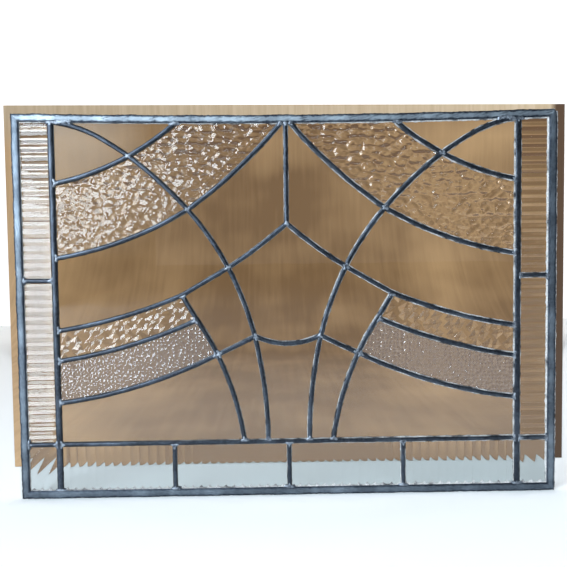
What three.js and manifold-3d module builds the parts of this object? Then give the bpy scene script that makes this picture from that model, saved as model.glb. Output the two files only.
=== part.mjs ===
// A leadlight panel: clear, reeded, hammered, shard and stippled glass held in soldered lead came.
// Millimetres. +X runs to the right, +Z up, and the front faces -Y. The origin is on the underside
// of the bottom border, in the middle of its length and of the panel's thickness.
import * as THREE from 'three';
import { mergeVertices } from 'three/addons/utils/BufferGeometryUtils.js';
import Module from 'manifold-3d';

const wasm = await Module();
wasm.setup();

// The panel. Its top border hangs a little at the middle.
const WIDTH = 640;
const HEIGHT = 456.5;
const TOP_SAG = 4.5;
const THICKNESS = 6.8;

// Lead came: two leaves, front and back, joined by a web. The glass sits in the groove between them.
const GROOVE = 4.2;
const WEB = 1.5;
const LEAF_EDGE = 0.5;
const CREST = THICKNESS / 2;
const LOW_CREST = CREST - 0.1;
const LINE_WIDTH = 5.2;
const POST_WIDTH = 7.2;
const BORDER_WIDTH = 9.5;
const BORDER_WEB = 3.5;
const BORDER_BEVEL = 0.5;
const GAP = 0.3;

// Glass. The pane's edge stands clear of the web, and a reed's crest clear of the leaves.
const EDGE_CLEARANCE = 0.65;
const CLEAR_THICKNESS = 3;
const TEXTURED_THICKNESS = 3.4;
const REEDED_THICKNESS = 3.6;
const REED_PITCH = 10;
const REED_HEIGHT = 0.8;
const REED_STEPS = 3;

// The layout: two upright posts, a base rail, and short bars that part the reeded margin.
const POST_X = 274.3;
const RAIL_Z = 65;
const SIDE_BAR_Z = 260.8;
const BASE_BAR_X = 137;
const STEP_LENGTH = 24;

// The border's glass line lies as far from its groove's floor as a line's middle does from its own.
const RIM = BORDER_WEB - WEB / 2;
const RIM_X = WIDTH / 2 - RIM;

/** Height of the top border's outer edge at x: a shallow arc, level with HEIGHT at both ends. */
function topEdge(x) {
  return HEIGHT - TOP_SAG * (1 - (2 * x / WIDTH) ** 2);
}

// Where lead lines meet, on the right half, as [x, z]. A line crosses the sweep at sweepN, the stem
// at stemN and the post at postN, numbered like the five swags, from the top down.
const JOINTS = {
  corner: [POST_X, topEdge(POST_X) - RIM],
  crown: [0, topEdge(0) - RIM],
  apex: [0, 325.4],
  rim1: [122, topEdge(122) - RIM],
  post1: [POST_X, 374.4],
  post2: [POST_X, 286.9],
  post3: [POST_X, 201],
  post4: [POST_X, 164.8],
  post5: [POST_X, 114.6],
  postFoot: [POST_X, RAIL_Z],
  sweep1: [184.3, 406],
  sweep2: [116.4, 342.8],
  sweep3: [69.7, 273.8],
  sweep5: [39.3, 191.8],
  sweepFoot: [24.7, RAIL_Z],
  stem3: [125, 242],
  stem4: [107.4, 212.2],
  stem5: [84, 170.5],
  stemFoot: [53, RAIL_Z],
};

// Lead lines of the right half: the joints along each, and the bow of each stretch, which is how far
// its middle stands to the left of the straight way. A name with ~ is the joint's mirror image.
const LINES = {
  sweep: { joints: ['corner', 'sweep1', 'sweep2', 'sweep3', 'sweep5', 'sweepFoot'],
    bows: [-4, -2.3, -2.6, -2.5, -3.6] },
  stem: { joints: ['stem3', 'stem4', 'stem5', 'stemFoot'], bows: [0, -1.1, -4.2] },
  swag1: { joints: ['post1', 'sweep1', 'rim1'], bows: [3.6, 2.2] },
  swag2: { joints: ['post2', 'sweep2', 'crown'], bows: [8.2, 5.4] },
  swag3: { joints: ['post3', 'stem3', 'sweep3', 'apex'], bows: [5, 0.2, 1.6] },
  swag4: { joints: ['post4', 'stem4'], bows: [6] },
  swag5: { joints: ['post5', 'stem5'], bows: [8.4] },
  link: { joints: ['stem5', 'sweep5'], bows: [0.4] },
  cup: { joints: ['~sweep5', 'sweep5'], bows: [-9] },
  bar: { joints: ['crown', 'apex'], bows: [0] },
};

// Panes of the field, by the joints round them. Those of the first list come in pairs.
const PAIRED_PANES = {
  clear_corner: ['corner', 'post1', 'sweep1'],
  clear_top: ['corner', 'sweep1', 'rim1'],
  hammered_outer: ['post1', 'post2', 'sweep2', 'sweep1'],
  hammered_inner: ['rim1', 'sweep1', 'sweep2', 'crown'],
  clear_wing: ['post2', 'post3', 'stem3', 'sweep3', 'sweep2'],
  clear_kite: ['crown', 'sweep2', 'sweep3', 'apex'],
  shard_band: ['post3', 'post4', 'stem4', 'stem3'],
  stipple_band: ['post4', 'post5', 'stem5', 'stem4'],
  clear_shoulder: ['stem3', 'stem4', 'stem5', 'sweep5', 'sweep3'],
  clear_skirt: ['post5', 'postFoot', 'stemFoot', 'stem5'],
  clear_stalk: ['stem5', 'stemFoot', 'sweepFoot', 'sweep5'],
};
const CENTRE_PANES = {
  clear_star: ['apex', 'sweep3', 'sweep5', '~sweep5', '~sweep3'],
  clear_foot: ['sweep5', 'sweepFoot', '~sweepFoot', '~sweep5'],
};

const SIDES = { right: 1, left: -1 };

const LEAD = new THREE.MeshStandardMaterial({ color: 0x53606e, roughness: 0.5, metalness: 0.7 });

/** Glass of one kind, told from the others by its tint in a plain view. */
function glassMaterial(color, roughness) {
  const seeThrough = { transparent: true, opacity: 0.35 };
  return new THREE.MeshStandardMaterial({ color, roughness, metalness: 0, ...seeThrough });
}

const GLASS = {
  clear: glassMaterial(0xdfe9ea, 0.05),
  reeded: glassMaterial(0xd5dfe0, 0.1),
  hammered: glassMaterial(0xe4dfd6, 0.12),
  shard: glassMaterial(0xdad9d2, 0.15),
  stipple: glassMaterial(0xcfc9c4, 0.25),
};

// ---- Solids: closed geometry to manifold and back ----

const MERGE_DISTANCE = 1e-4;

function solidOf(geometry) {
  geometry.deleteAttribute('normal');
  geometry.deleteAttribute('uv');
  const merged = mergeVertices(geometry, MERGE_DISTANCE);
  const mesh = new wasm.Mesh({
    numProp: 3,
    vertProperties: new Float32Array(merged.attributes.position.array),
    triVerts: new Uint32Array(merged.index.array),
  });
  return new wasm.Manifold(mesh);
}

function geometryOf(solid) {
  const mesh = solid.getMesh();
  const geometry = new THREE.BufferGeometry();
  geometry.setAttribute('position', new THREE.BufferAttribute(mesh.vertProperties, 3));
  geometry.setIndex(new THREE.BufferAttribute(mesh.triVerts, 1));
  return geometry;
}

/** An outline in the panel's plane, as [x, z] points, extruded evenly to both sides of y = 0. */
function plate(outline, thickness) {
  const shape = new THREE.Shape(outline.map(([x, z]) => new THREE.Vector2(x, z)));
  const geometry = new THREE.ExtrudeGeometry(shape, { depth: thickness, bevelEnabled: false });
  geometry.rotateX(Math.PI / 2);
  geometry.translate(0, thickness / 2, 0);
  return geometry;
}

// ---- Lead lines in the panel's plane ----

function joint(name) {
  const mirrored = name.startsWith('~');
  const [x, z] = JOINTS[mirrored ? name.slice(1) : name];
  return new THREE.Vector2(mirrored ? -x : x, z);
}

function mirror(points, side) {
  return points.map((p) => new THREE.Vector2(side * p.x, p.y));
}

/** Points of the arc between two joints; more of them on a longer one, and two on a straight one. */
function arcPoints(from, to, bow) {
  const way = to.clone().sub(from);
  const left = new THREE.Vector2(-way.y, way.x).normalize();
  const middle = from.clone().add(to).multiplyScalar(0.5).addScaledVector(left, 2 * bow);
  const steps = bow === 0 ? 1 : Math.max(2, Math.round(way.length() / STEP_LENGTH));
  return new THREE.QuadraticBezierCurve(from, middle, to).getPoints(steps);
}

/** The stretch of lead line between two neighbouring joints, or the straight way where there is none. */
function stretch(from, to) {
  for (const { joints, bows } of Object.values(LINES)) {
    for (let i = 0; i < bows.length; i += 1) {
      const [a, b] = [joints[i], joints[i + 1]];
      if (a === from && b === to) return arcPoints(joint(a), joint(b), bows[i]);
      if (a === to && b === from) return arcPoints(joint(a), joint(b), bows[i]).reverse();
    }
  }
  if ((from + to).includes('~') && joint(from).x <= 0 && joint(to).x <= 0) {
    return mirror(stretch(from.replace('~', ''), to.replace('~', '')), -1);
  }
  return [joint(from), joint(to)];
}

/** All points of a line, stretch after stretch. */
function linePoints({ joints }) {
  const points = [joint(joints[0])];
  for (let i = 1; i < joints.length; i += 1) {
    points.push(...stretch(joints[i - 1], joints[i]).slice(1));
  }
  return points;
}

/** A path in the panel's plane whose section is mitred at each point and never twists. */
class LeadPath extends THREE.Curve {
  constructor(points) {
    super();
    this.points = points;
  }

  getSpacedPoints() {
    return this.points.map((p) => new THREE.Vector3(p.x, 0, p.y));
  }

  computeFrenetFrames() {
    const { points } = this;
    const ways = points.slice(1).map((p, i) => p.clone().sub(points[i]).normalize());
    const tangents = [];
    const normals = [];
    const binormals = [];
    for (let i = 0; i < points.length; i += 1) {
      const before = ways[Math.max(i - 1, 0)];
      const after = ways[Math.min(i, ways.length - 1)];
      const along = before.clone().add(after).normalize();
      const stretchOut = 1 / along.dot(after);
      tangents.push(new THREE.Vector3(along.x, 0, along.y));
      normals.push(new THREE.Vector3(along.y * stretchOut, 0, -along.x * stretchOut));
      binormals.push(new THREE.Vector3(0, 1, 0));
    }
    return { tangents, normals, binormals };
  }
}

/** A section, as [across to the right, through the thickness] points, carried along a path. */
function sweep(section, points) {
  const shape = new THREE.Shape(section.map(([across, through]) => new THREE.Vector2(across, through)));
  const options = { steps: points.length - 1, extrudePath: new LeadPath(points), bevelEnabled: false };
  return new THREE.ExtrudeGeometry(shape, options);
}

// ---- Sections of the came ----

/** H section with roof-shaped leaves whose crest runs along the middle. */
function cameSection(width, crest) {
  const half = width / 2;
  const web = WEB / 2;
  const floor = GROOVE / 2;
  const edge = floor + LEAF_EDGE;
  const leaf = [[half, floor], [half, edge], [0, crest], [-half, edge], [-half, floor]];
  const back = [[web, floor], ...leaf, [-web, floor]];
  const front = back.map(([across, through]) => [-across, -through]);
  return [...back, ...front];
}

/** C section of the border: flat outer edge, flat leaves, groove opening inwards. */
function borderSection() {
  const face = THICKNESS / 2;
  const floor = GROOVE / 2;
  const back = [[BORDER_WEB, floor], [BORDER_WIDTH, floor], [BORDER_WIDTH, face - BORDER_BEVEL],
    [BORDER_WIDTH - BORDER_BEVEL, face], [BORDER_BEVEL, face], [0, face - BORDER_BEVEL]];
  const front = back.map(([across, through]) => [across, -through]).reverse();
  return [...back, ...front];
}

/** The room that a line takes, with the gap its neighbours keep from it. */
function roomOf(points, width) {
  const half = width / 2 + GAP;
  const through = THICKNESS;
  return solidOf(sweep([[half, -through], [half, through], [-half, through], [-half, -through]], points));
}

// ---- Lead pieces ----

/** The opening between the posts, the rail and the top border, less the gap, from x = low to high. */
function fieldRoom(low, high) {
  const left = Math.max(low, -POST_X + POST_WIDTH / 2 + GAP);
  const right = Math.min(high, POST_X - POST_WIDTH / 2 - GAP);
  const bottom = RAIL_Z + LINE_WIDTH / 2 + GAP;
  const steps = 2 * Math.round((right - left) / STEP_LENGTH / 2);
  const outline = [[left, bottom], [right, bottom]];
  for (let i = 0; i <= steps; i += 1) {
    const x = right + (left - right) * i / steps;
    outline.push([x, topEdge(x) - BORDER_WIDTH - GAP]);
  }
  return solidOf(plate(outline, 2 * THICKNESS));
}

function lineSolid(line, side, crest) {
  return solidOf(sweep(cameSection(LINE_WIDTH, crest), mirror(linePoints(line), side)));
}

function lineRoom(line, side) {
  return roomOf(mirror(linePoints(line), side), LINE_WIDTH);
}

/** The sweep with three swags and the link soldered across it, as one branched piece. */
function fan(side) {
  const half = side > 0 ? fieldRoom(GAP / 2, WIDTH) : fieldRoom(-WIDTH, -GAP / 2);
  const sweepLine = lineSolid(LINES.sweep, side, CREST);
  const topSwag = lineSolid(LINES.swag1, side, LOW_CREST);
  const crownSwag = lineSolid(LINES.swag2, side, LOW_CREST).subtract(lineRoom(LINES.bar, side));
  const apexSwag = lineSolid(LINES.swag3, side, LOW_CREST);
  const link = lineSolid(LINES.link, side, LOW_CREST).subtract(lineRoom(LINES.stem, side));
  return sweepLine.add(topSwag).add(crownSwag).add(apexSwag).add(link).intersect(half);
}

function stem(side) {
  return lineSolid(LINES.stem, side, CREST)
    .intersect(fieldRoom(-WIDTH, WIDTH))
    .subtract(lineRoom(LINES.swag3, side));
}

/** A swag that ends against the stem. */
function shortSwag(line, side) {
  return lineSolid(line, side, CREST)
    .intersect(fieldRoom(-WIDTH, WIDTH))
    .subtract(lineRoom(LINES.stem, side));
}

function cup() {
  return lineSolid(LINES.cup, 1, CREST)
    .subtract(lineRoom(LINES.sweep, 1))
    .subtract(lineRoom(LINES.sweep, -1));
}

function bar() {
  return lineSolid(LINES.bar, 1, CREST)
    .intersect(fieldRoom(-WIDTH, WIDTH))
    .subtract(lineRoom(LINES.swag3, 1))
    .subtract(lineRoom(LINES.swag3, -1));
}

/** A straight strip between two points, which lie a gap short of what it meets. */
function straightStrip(from, to, width) {
  return sweep(cameSection(width, CREST), [new THREE.Vector2(...from), new THREE.Vector2(...to)]);
}

/** One side of the border, with its outer edge along the way and its ends mitred. */
function borderStrip(points) {
  const first = points[0];
  const last = points[points.length - 1];
  const way = last.clone().sub(first).normalize();
  const inwards = new THREE.Vector2(way.y, -way.x);
  const reach = 2 * BORDER_WIDTH;
  const from = first.clone().addScaledVector(way, GAP).addScaledVector(inwards, -reach);
  const to = last.clone().addScaledVector(way, -GAP).addScaledVector(inwards, -reach);
  const mitre = [
    from.clone().addScaledVector(way, -reach),
    to.clone().addScaledVector(way, reach),
    to.clone().addScaledVector(way, -reach).addScaledVector(inwards, 2 * reach),
    from.clone().addScaledVector(way, reach).addScaledVector(inwards, 2 * reach),
  ];
  const room = solidOf(plate(mitre.map((p) => [p.x, p.y]), 2 * THICKNESS));
  return geometryOf(solidOf(sweep(borderSection(), points)).intersect(room));
}

/** The four sides, clockwise as seen from the front, so that inwards is to the right of the way. */
function borderPaths() {
  const half = WIDTH / 2;
  const steps = 2 * Math.round(WIDTH / STEP_LENGTH / 4);
  const top = [];
  for (let i = 0; i <= steps; i += 1) {
    const x = -half + WIDTH * i / steps;
    top.push(new THREE.Vector2(x, topEdge(x)));
  }
  const corner = (x, z) => new THREE.Vector2(x, z);
  return {
    top,
    right: [corner(half, HEIGHT), corner(half, 0)],
    bottom: [corner(half, 0), corner(-half, 0)],
    left: [corner(-half, 0), corner(-half, HEIGHT)],
  };
}

// ---- Panes ----

/** A closed outline moved inwards by a distance, mitred at each point; it runs either way round. */
function inset(points, distance) {
  const area = THREE.ShapeUtils.area(points);
  const turn = area > 0 ? 1 : -1;
  return points.map((point, i) => {
    const before = point.clone().sub(points[(i + points.length - 1) % points.length]).normalize();
    const after = points[(i + 1) % points.length].clone().sub(point).normalize();
    const inwards = new THREE.Vector2(-before.y - after.y, before.x + after.x).normalize();
    const reach = turn * distance / (inwards.y * after.x - inwards.x * after.y);
    return [point.x + inwards.x * reach, point.y + inwards.y * reach];
  });
}

/** A pane cut to the lead lines between its joints. */
function fieldPane(joints, side, thickness) {
  const loop = [];
  joints.forEach((from, i) => {
    loop.push(...stretch(from, joints[(i + 1) % joints.length]).slice(0, -1));
  });
  return plate(inset(mirror(loop, side), WEB / 2 + EDGE_CLEARANCE), thickness);
}

/** Section of a reeded sheet: a flat back, and a whole number of round reeds in front (parabolas). */
function reededSection(length) {
  const count = Math.round(length / REED_PITCH);
  const back = REEDED_THICKNESS / 2;
  const section = [[length, back], [0, back]];
  for (let i = 0; i <= count * REED_STEPS; i += 1) {
    const across = (i % REED_STEPS) / REED_STEPS;
    const rise = REED_HEIGHT * 4 * across * (1 - across);
    section.push([length * i / (count * REED_STEPS), REED_HEIGHT - back - rise]);
  }
  return new THREE.Shape(section.map(([x, y]) => new THREE.Vector2(x, y)));
}

/** Reeded sheet with its reeds standing upright, over a rectangle of the panel's plane. */
function uprightReeds([left, bottom, right, top]) {
  const options = { depth: top - bottom, bevelEnabled: false };
  return new THREE.ExtrudeGeometry(reededSection(right - left), options).translate(left, 0, bottom);
}

/** Reeded sheet with its reeds lying level. */
function levelReeds([left, bottom, right, top]) {
  const options = { depth: right - left, bevelEnabled: false };
  return new THREE.ExtrudeGeometry(reededSection(top - bottom), options)
    .rotateY(-Math.PI / 2)
    .translate(right, 0, bottom);
}

/** Reeded sheet cut on the slant, its reeds running down towards the side given. */
function slantedReeds([left, bottom, right, top], side) {
  const reach = right - left + top - bottom;
  const sheet = uprightReeds([-reach / 2, -reach / 2, reach / 2, reach / 2])
    .rotateY(-side * Math.PI / 4)
    .translate((left + right) / 2, 0, (bottom + top) / 2);
  const outline = plate([[left, bottom], [right, bottom], [right, top], [left, top]], THICKNESS);
  return geometryOf(solidOf(sheet).intersect(solidOf(outline)));
}

/** The rectangle between two pairs of lead lines, less the edge clearance; left stays left. */
function cell(x1, x2, z1, z2) {
  const clear = WEB / 2 + EDGE_CLEARANCE;
  return [Math.min(x1, x2) + clear, z1 + clear, Math.max(x1, x2) - clear, z2 - clear];
}

// ---- The panel ----

const panel = new THREE.Group();

function place(name, geometry, material) {
  const mesh = new THREE.Mesh(geometry, material);
  mesh.name = name;
  panel.add(mesh);
}

function addBorder() {
  for (const [name, points] of Object.entries(borderPaths())) {
    place(`lead_border_${name}`, borderStrip(points), LEAD);
  }
}

/** The posts run from border to border; the rail and the short bars meet them and the border. */
function addStraightLead() {
  const floor = BORDER_WIDTH + GAP;
  const wall = WIDTH / 2 - BORDER_WIDTH - GAP;
  const railTop = RAIL_Z - LINE_WIDTH / 2 - GAP;
  const postInner = POST_X - POST_WIDTH / 2 - GAP;
  const postOuter = POST_X + POST_WIDTH / 2 + GAP;
  place('lead_rail_middle', straightStrip([-postInner, RAIL_Z], [postInner, RAIL_Z], LINE_WIDTH), LEAD);
  for (const [name, side] of Object.entries(SIDES)) {
    const post = side * POST_X;
    const top = topEdge(post + POST_WIDTH / 2 * side) - BORDER_WIDTH - GAP;
    const [near, far] = [side * postOuter, side * wall];
    place(`lead_post_${name}`, straightStrip([post, floor], [post, top], POST_WIDTH), LEAD);
    place(`lead_rail_${name}`, straightStrip([near, RAIL_Z], [far, RAIL_Z], LINE_WIDTH), LEAD);
    place(`lead_side_bar_${name}`, straightStrip([near, SIDE_BAR_Z], [far, SIDE_BAR_Z], LINE_WIDTH), LEAD);
  }
  for (const [name, x] of [['left', -BASE_BAR_X], ['middle', 0], ['right', BASE_BAR_X]]) {
    place(`lead_base_bar_${name}`, straightStrip([x, floor], [x, railTop], LINE_WIDTH), LEAD);
  }
}

function addCurvedLead() {
  for (const [name, side] of Object.entries(SIDES)) {
    place(`lead_fan_${name}`, geometryOf(fan(side)), LEAD);
    place(`lead_stem_${name}`, geometryOf(stem(side)), LEAD);
    place(`lead_thin_swag_${name}`, geometryOf(shortSwag(LINES.swag4, side)), LEAD);
    place(`lead_low_swag_${name}`, geometryOf(shortSwag(LINES.swag5, side)), LEAD);
  }
  place('lead_cup', geometryOf(cup()), LEAD);
  place('lead_centre_bar', geometryOf(bar()), LEAD);
}

/** A pane of the field, whose name begins with its kind of glass. */
function addFieldPane(name, joints, side) {
  const kind = name.split('_')[0];
  const thickness = kind === 'clear' ? CLEAR_THICKNESS : TEXTURED_THICKNESS;
  place(`glass_${name}`, fieldPane(joints, side, thickness), GLASS[kind]);
}

function addFieldPanes() {
  for (const [name, joints] of Object.entries(CENTRE_PANES)) {
    addFieldPane(name, joints, 1);
  }
  for (const [name, joints] of Object.entries(PAIRED_PANES)) {
    addFieldPane(`${name}_right`, joints, 1);
    addFieldPane(`${name}_left`, joints, -1);
  }
}

function addReededPanes() {
  const top = topEdge(POST_X) - RIM;
  for (const [name, side] of Object.entries(SIDES)) {
    const [near, far] = [side * POST_X, side * RIM_X];
    place(`glass_reeded_upper_${name}`, levelReeds(cell(near, far, SIDE_BAR_Z, top)), GLASS.reeded);
    place(`glass_reeded_lower_${name}`, levelReeds(cell(near, far, RAIL_Z, SIDE_BAR_Z)), GLASS.reeded);
    place(`glass_reeded_corner_${name}`, slantedReeds(cell(near, far, RIM, RAIL_Z), side), GLASS.reeded);
  }
  const bars = [-POST_X, -BASE_BAR_X, 0, BASE_BAR_X, POST_X];
  for (let i = 1; i < bars.length; i += 1) {
    place(`glass_reeded_base_${i}`, uprightReeds(cell(bars[i - 1], bars[i], RIM, RAIL_Z)), GLASS.reeded);
  }
}

addBorder();
addStraightLead();
addCurvedLead();
addFieldPanes();
addReededPanes();

export default panel;
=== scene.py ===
# %% [markdown]
# # A leadlight panel
# A leadlight panel is a flat jigsaw of glass panes held in strips of lead. The construction, with every
# strip and pane at its real size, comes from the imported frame. This file gives each piece its finish:
# rounded and hand-worked lead, solder, cement, and glass with its moulded relief. Blender works in
# metres, and glaziers in millimetres, so sizes here are written in millimetres and scaled once, where a
# piece is made.

# %% Load the frame
import math

import bmesh
import bpy
import numpy as np
from mathutils import Matrix, Vector


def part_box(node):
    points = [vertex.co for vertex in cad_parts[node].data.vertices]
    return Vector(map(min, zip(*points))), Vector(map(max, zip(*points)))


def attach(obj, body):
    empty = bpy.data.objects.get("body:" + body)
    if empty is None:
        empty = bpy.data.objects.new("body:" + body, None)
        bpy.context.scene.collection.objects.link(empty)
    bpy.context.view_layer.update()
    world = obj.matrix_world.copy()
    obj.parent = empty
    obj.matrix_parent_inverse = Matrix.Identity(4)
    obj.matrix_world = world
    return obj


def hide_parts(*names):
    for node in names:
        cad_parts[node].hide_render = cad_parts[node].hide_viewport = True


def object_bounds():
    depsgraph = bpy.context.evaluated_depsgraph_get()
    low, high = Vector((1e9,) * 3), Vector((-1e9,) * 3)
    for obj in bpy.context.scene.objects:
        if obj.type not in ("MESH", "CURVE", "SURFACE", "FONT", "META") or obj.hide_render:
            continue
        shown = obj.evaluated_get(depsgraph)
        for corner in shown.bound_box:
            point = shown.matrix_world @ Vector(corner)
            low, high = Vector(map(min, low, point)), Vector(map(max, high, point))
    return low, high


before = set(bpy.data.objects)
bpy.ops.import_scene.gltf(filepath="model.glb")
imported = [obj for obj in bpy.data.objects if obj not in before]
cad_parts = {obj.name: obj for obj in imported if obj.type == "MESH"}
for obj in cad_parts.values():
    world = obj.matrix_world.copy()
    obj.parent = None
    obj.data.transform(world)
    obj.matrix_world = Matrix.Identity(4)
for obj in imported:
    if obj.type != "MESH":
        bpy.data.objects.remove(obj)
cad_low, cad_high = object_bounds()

MM = 0.001
WIDTH, THICKNESS, HEIGHT = (cad_high - cad_low) / MM
print(f"panel {WIDTH:.1f} x {HEIGHT:.1f} mm, {THICKNESS:.1f} mm thick, {len(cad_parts)} CAD nodes")

# %% [markdown]
# ## The camera and the room
# The panel stands upright, and the eye is a little above its middle, close enough that the borders draw
# in. Through clear glass most of what shows is the room behind, so a seamless backdrop in a warm sand
# colour begins a hand's width behind the panel. The pale floor stops there. That edge is what the
# upright reeds at the foot of the panel break into saw teeth.

# %% Place the camera
SENSOR, LENS = 36.0, 41.27
CAMERA_PLACE = (-0.0148, -0.771, 0.2929)
CAMERA_AZIMUTH, CAMERA_ELEVATION, CAMERA_ROLL = (math.radians(angle) for angle in (0.77, 2.87, -0.70))

camera = bpy.data.objects.new("camera", bpy.data.cameras.new("camera"))
bpy.context.scene.collection.objects.link(camera)
bpy.context.scene.camera = camera
camera.data.sensor_width, camera.data.lens = SENSOR, LENS
camera.location = CAMERA_PLACE
look = Vector((
    math.sin(CAMERA_AZIMUTH) * math.cos(CAMERA_ELEVATION),
    math.cos(CAMERA_AZIMUTH) * math.cos(CAMERA_ELEVATION),
    -math.sin(CAMERA_ELEVATION),
))
turn = look.to_track_quat("-Z", "Y").to_matrix().to_4x4() @ Matrix.Rotation(CAMERA_ROLL, 4, "Z")
camera.rotation_mode = "QUATERNION"
camera.rotation_quaternion = turn.to_quaternion()
print("camera at", tuple(camera.location))

# %% [markdown]
# ## Meshes from grids
# Every new piece is a grid of points: a section carried along a path, or a height over a sheet. One
# helper turns such a grid into faces by arithmetic on the point numbers, and one puts arrays of points
# and faces into a Blender mesh.

# %% Grid and mesh helpers
SAME_PLACE = 0.001


def grid_quads(rows, columns, wrap=False):
    """Quads of a rows x columns grid of points, numbered row by row. With wrap, the last column joins
    the first, as round a closed section."""
    across = np.arange(columns if wrap else columns - 1)
    start = np.arange(rows - 1)[:, None] * columns
    here, beside = start + across, start + (across + 1) % columns
    return np.stack([here, beside, beside + columns, here + columns], axis=-1).reshape(-1, 4)


def add_piece(name, points, faces, material, nodes=(), sharp=40.0):
    """A mesh object from points in millimetres, which stands for the CAD nodes named. Points at one
    place are made one, as at a pole, and the faces are turned outwards."""
    mesh = bpy.data.meshes.new(name)
    mesh.from_pydata((np.asarray(points).reshape(-1, 3) * MM).tolist(), [], faces)
    shape = bmesh.new()
    shape.from_mesh(mesh)
    bmesh.ops.remove_doubles(shape, verts=shape.verts, dist=SAME_PLACE * MM)
    bmesh.ops.recalc_face_normals(shape, faces=shape.faces)
    shape.to_mesh(mesh)
    shape.free()
    mesh.shade_smooth()
    mesh.set_sharp_from_angle(angle=math.radians(sharp))
    mesh.materials.append(material)
    piece = bpy.data.objects.new(name, mesh)
    bpy.context.scene.collection.objects.link(piece)
    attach(piece, "root")
    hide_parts(*nodes)
    return piece


def waves(along, seed, longest, shortest, count=6):
    """Smooth, repeatable unevenness of about unit size: a sum of sines whose lengths run from longest
    to shortest, each with a phase drawn from the seed."""
    draw = np.random.default_rng(seed)
    lengths = np.geomspace(longest, shortest, count)
    phases = draw.uniform(0, 2 * np.pi, count)
    sizes = (lengths / longest) ** 0.5
    total = (sizes * np.sin(2 * np.pi * np.asarray(along)[..., None] / lengths + phases)).sum(-1)
    return total / np.sqrt((sizes ** 2).sum() / 2)


print("a grid of 3 x 4 points:", len(grid_quads(3, 4)), "quads, or wrapped", len(grid_quads(3, 4, True)))

# %% [markdown]
# ## Reading the frame
# A CAD node's mesh is loose triangles, so a copy of its points is merged first. Each strip of lead has a
# crest, which is the line that its finer surface will follow. Where strips meet in one node, those that
# branch off have their crest a little lower than the strip that runs through.

# %% Crest lines
CREST = THICKNESS / 2
LOW_CREST = CREST - 0.1
LEVEL = 0.02


def merged(node):
    """Points of a CAD node in millimetres, and its triangles, with points at the same place made one."""
    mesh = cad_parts[node].data
    points = np.empty(3 * len(mesh.vertices))
    mesh.vertices.foreach_get("co", points)
    corners = np.empty(len(mesh.loops), int)
    mesh.loops.foreach_get("vertex_index", corners)
    points = points.reshape(-1, 3) / MM
    _, first, same = np.unique(np.round(points, 2), axis=0, return_index=True, return_inverse=True)
    return points[first], same.ravel()[corners].reshape(-1, 3)


def triangle_edges(triangles):
    """The three edges of each triangle, as pairs of point numbers."""
    return np.concatenate([triangles[:, [0, 1]], triangles[:, [1, 2]], triangles[:, [2, 0]]])


def crest_lines(node, height):
    """The lines that run along a lead node at a height over its middle plane, each as [x, z] points in
    order. Points joined by an edge belong to one line, found by passing the lowest number along edges.
    Of points within a millimetre of each other, one is kept."""
    points, triangles = merged(node)
    edges = triangle_edges(triangles)
    edges = edges[(np.abs(points[edges, 1] - height) < LEVEL).all(axis=1)]
    label = np.arange(len(points))
    for _ in range(len(np.unique(edges))):
        np.minimum.at(label, edges[:, 0], label[edges[:, 1]])
        np.minimum.at(label, edges[:, 1], label[edges[:, 0]])
    lines = []
    for first in np.unique(label[edges]):
        line = points[label == first][:, [0, 2]]
        way = np.linalg.svd(line - line.mean(0))[2][0]
        line = line[np.argsort(line @ way)]
        apart = np.hypot(*np.diff(line, axis=0).T) > 1
        lines.append(line[np.concatenate([[True], apart])])
    return lines


print("sweep and its branches:", [len(line) for line in crest_lines("lead_fan_right", LOW_CREST)], "points")

# %% [markdown]
# A crest has few points, at uneven steps, so a smooth line is laid through them before anything is
# carried along it.

# %% Smooth lines
STEP = 2.5


def distance_along(path):
    """Distance of each point from the start, along the path."""
    return np.concatenate([[0], np.cumsum(np.hypot(*np.diff(path, axis=0).T))])


def smooth_line(line, step):
    """A line through the points given, at even steps: cubic arcs whose slopes at the points are those
    of the chords on both sides (Hermite's form)."""
    reach = distance_along(line)
    if len(line) > 2:
        slopes = np.gradient(line, reach, axis=0, edge_order=2)
    else:
        slopes = np.repeat((line[1:] - line[:1]) / reach[-1], 2, axis=0)
    along = np.linspace(0, reach[-1], max(3, round(reach[-1] / step) + 1))
    i = np.clip(np.searchsorted(reach, along) - 1, 0, len(line) - 2)
    span = (reach[i + 1] - reach[i])[:, None]
    t = (along - reach[i])[:, None] / span
    return (line[i] * (1 + 2 * t) * (1 - t) ** 2 + line[i + 1] * t ** 2 * (3 - 2 * t)
            + slopes[i] * span * t * (1 - t) ** 2 + slopes[i + 1] * span * t ** 2 * (t - 1))


rail = crest_lines("lead_rail_middle", CREST)[0]
print("middle of the rail:", len(rail), "points, smoothed to", len(smooth_line(rail, STEP)))

# %% [markdown]
# Every pane with a pattern has four sides. They are read from the rim of its flat back.

# %% Outlines of the panes
def pane_sides(node):
    """The four sides of a pane's outline, each as [x, z] points, one after the other. The outline is the
    rim of the flat back, and its corners are the four sharpest turns."""
    points, triangles = merged(node)
    back = triangles[(points[triangles, 1] > points[:, 1].max() - LEVEL).all(axis=1)]
    edges = {tuple(edge) for edge in triangle_edges(back).tolist()}
    follow = {a: b for a, b in edges if (b, a) not in edges}
    loop = [next(iter(follow))]
    while follow[loop[-1]] != loop[0]:
        loop.append(follow[loop[-1]])
    rim = points[loop][:, [0, 2]]
    before = rim - np.roll(rim, 1, axis=0)
    after = np.roll(rim, -1, axis=0) - rim
    cosine = (before * after).sum(1) / np.hypot(*before.T) / np.hypot(*after.T)
    corners = np.sort(np.argsort(cosine)[:4])
    rim = np.roll(rim, -corners[0], axis=0)
    corners = list(corners - corners[0]) + [len(rim)]
    closed = np.concatenate([rim, rim[:1]])
    return [closed[a:b + 1] for a, b in zip(corners, corners[1:])]


print("points a side:", [len(side) for side in pane_sides("glass_hammered_inner_left")])

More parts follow.
